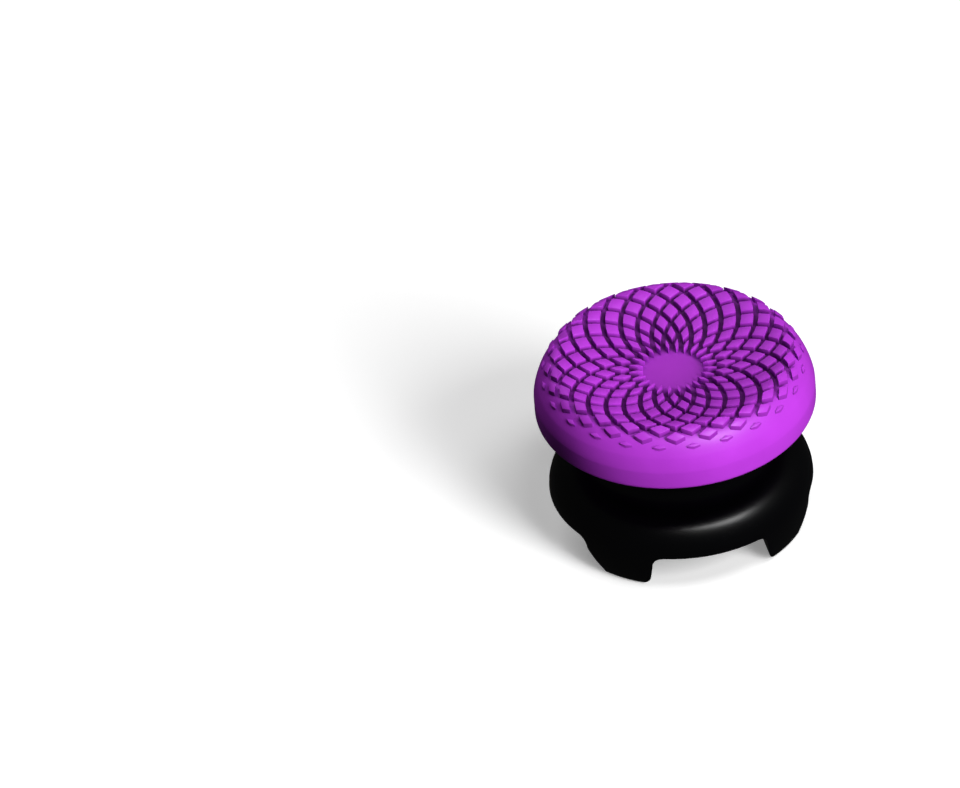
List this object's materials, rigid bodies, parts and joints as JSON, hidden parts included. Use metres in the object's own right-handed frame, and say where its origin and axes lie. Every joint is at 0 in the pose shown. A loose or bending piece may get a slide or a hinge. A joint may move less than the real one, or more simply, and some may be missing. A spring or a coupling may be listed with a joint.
{
  "type": "controller thumb grip",
  "caption": "Tall clip-on thumb grip for a controller stick: a soft rubber cap with a grooved dish on a hard plastic neck and skirt with clip tabs.",
  "frame": {"origin": "on the grip's axis, level with the feet of the clip tabs", "axes": "+Z along the axis, from the feet up to the dish; the clip tabs lie halfway between the X and Y axes"},
  "size_m": [0.0226, 0.0226, 0.0155],
  "materials": {
    "base_plastic": "black moulded plastic with a soft shine",
    "cap_rubber": "purple moulded soft rubber, satin"
  },
  "bodies": {
    "root": {"clip_base": "base_plastic", "grip_cap": "cap_rubber"}
  },
  "joints": []
}
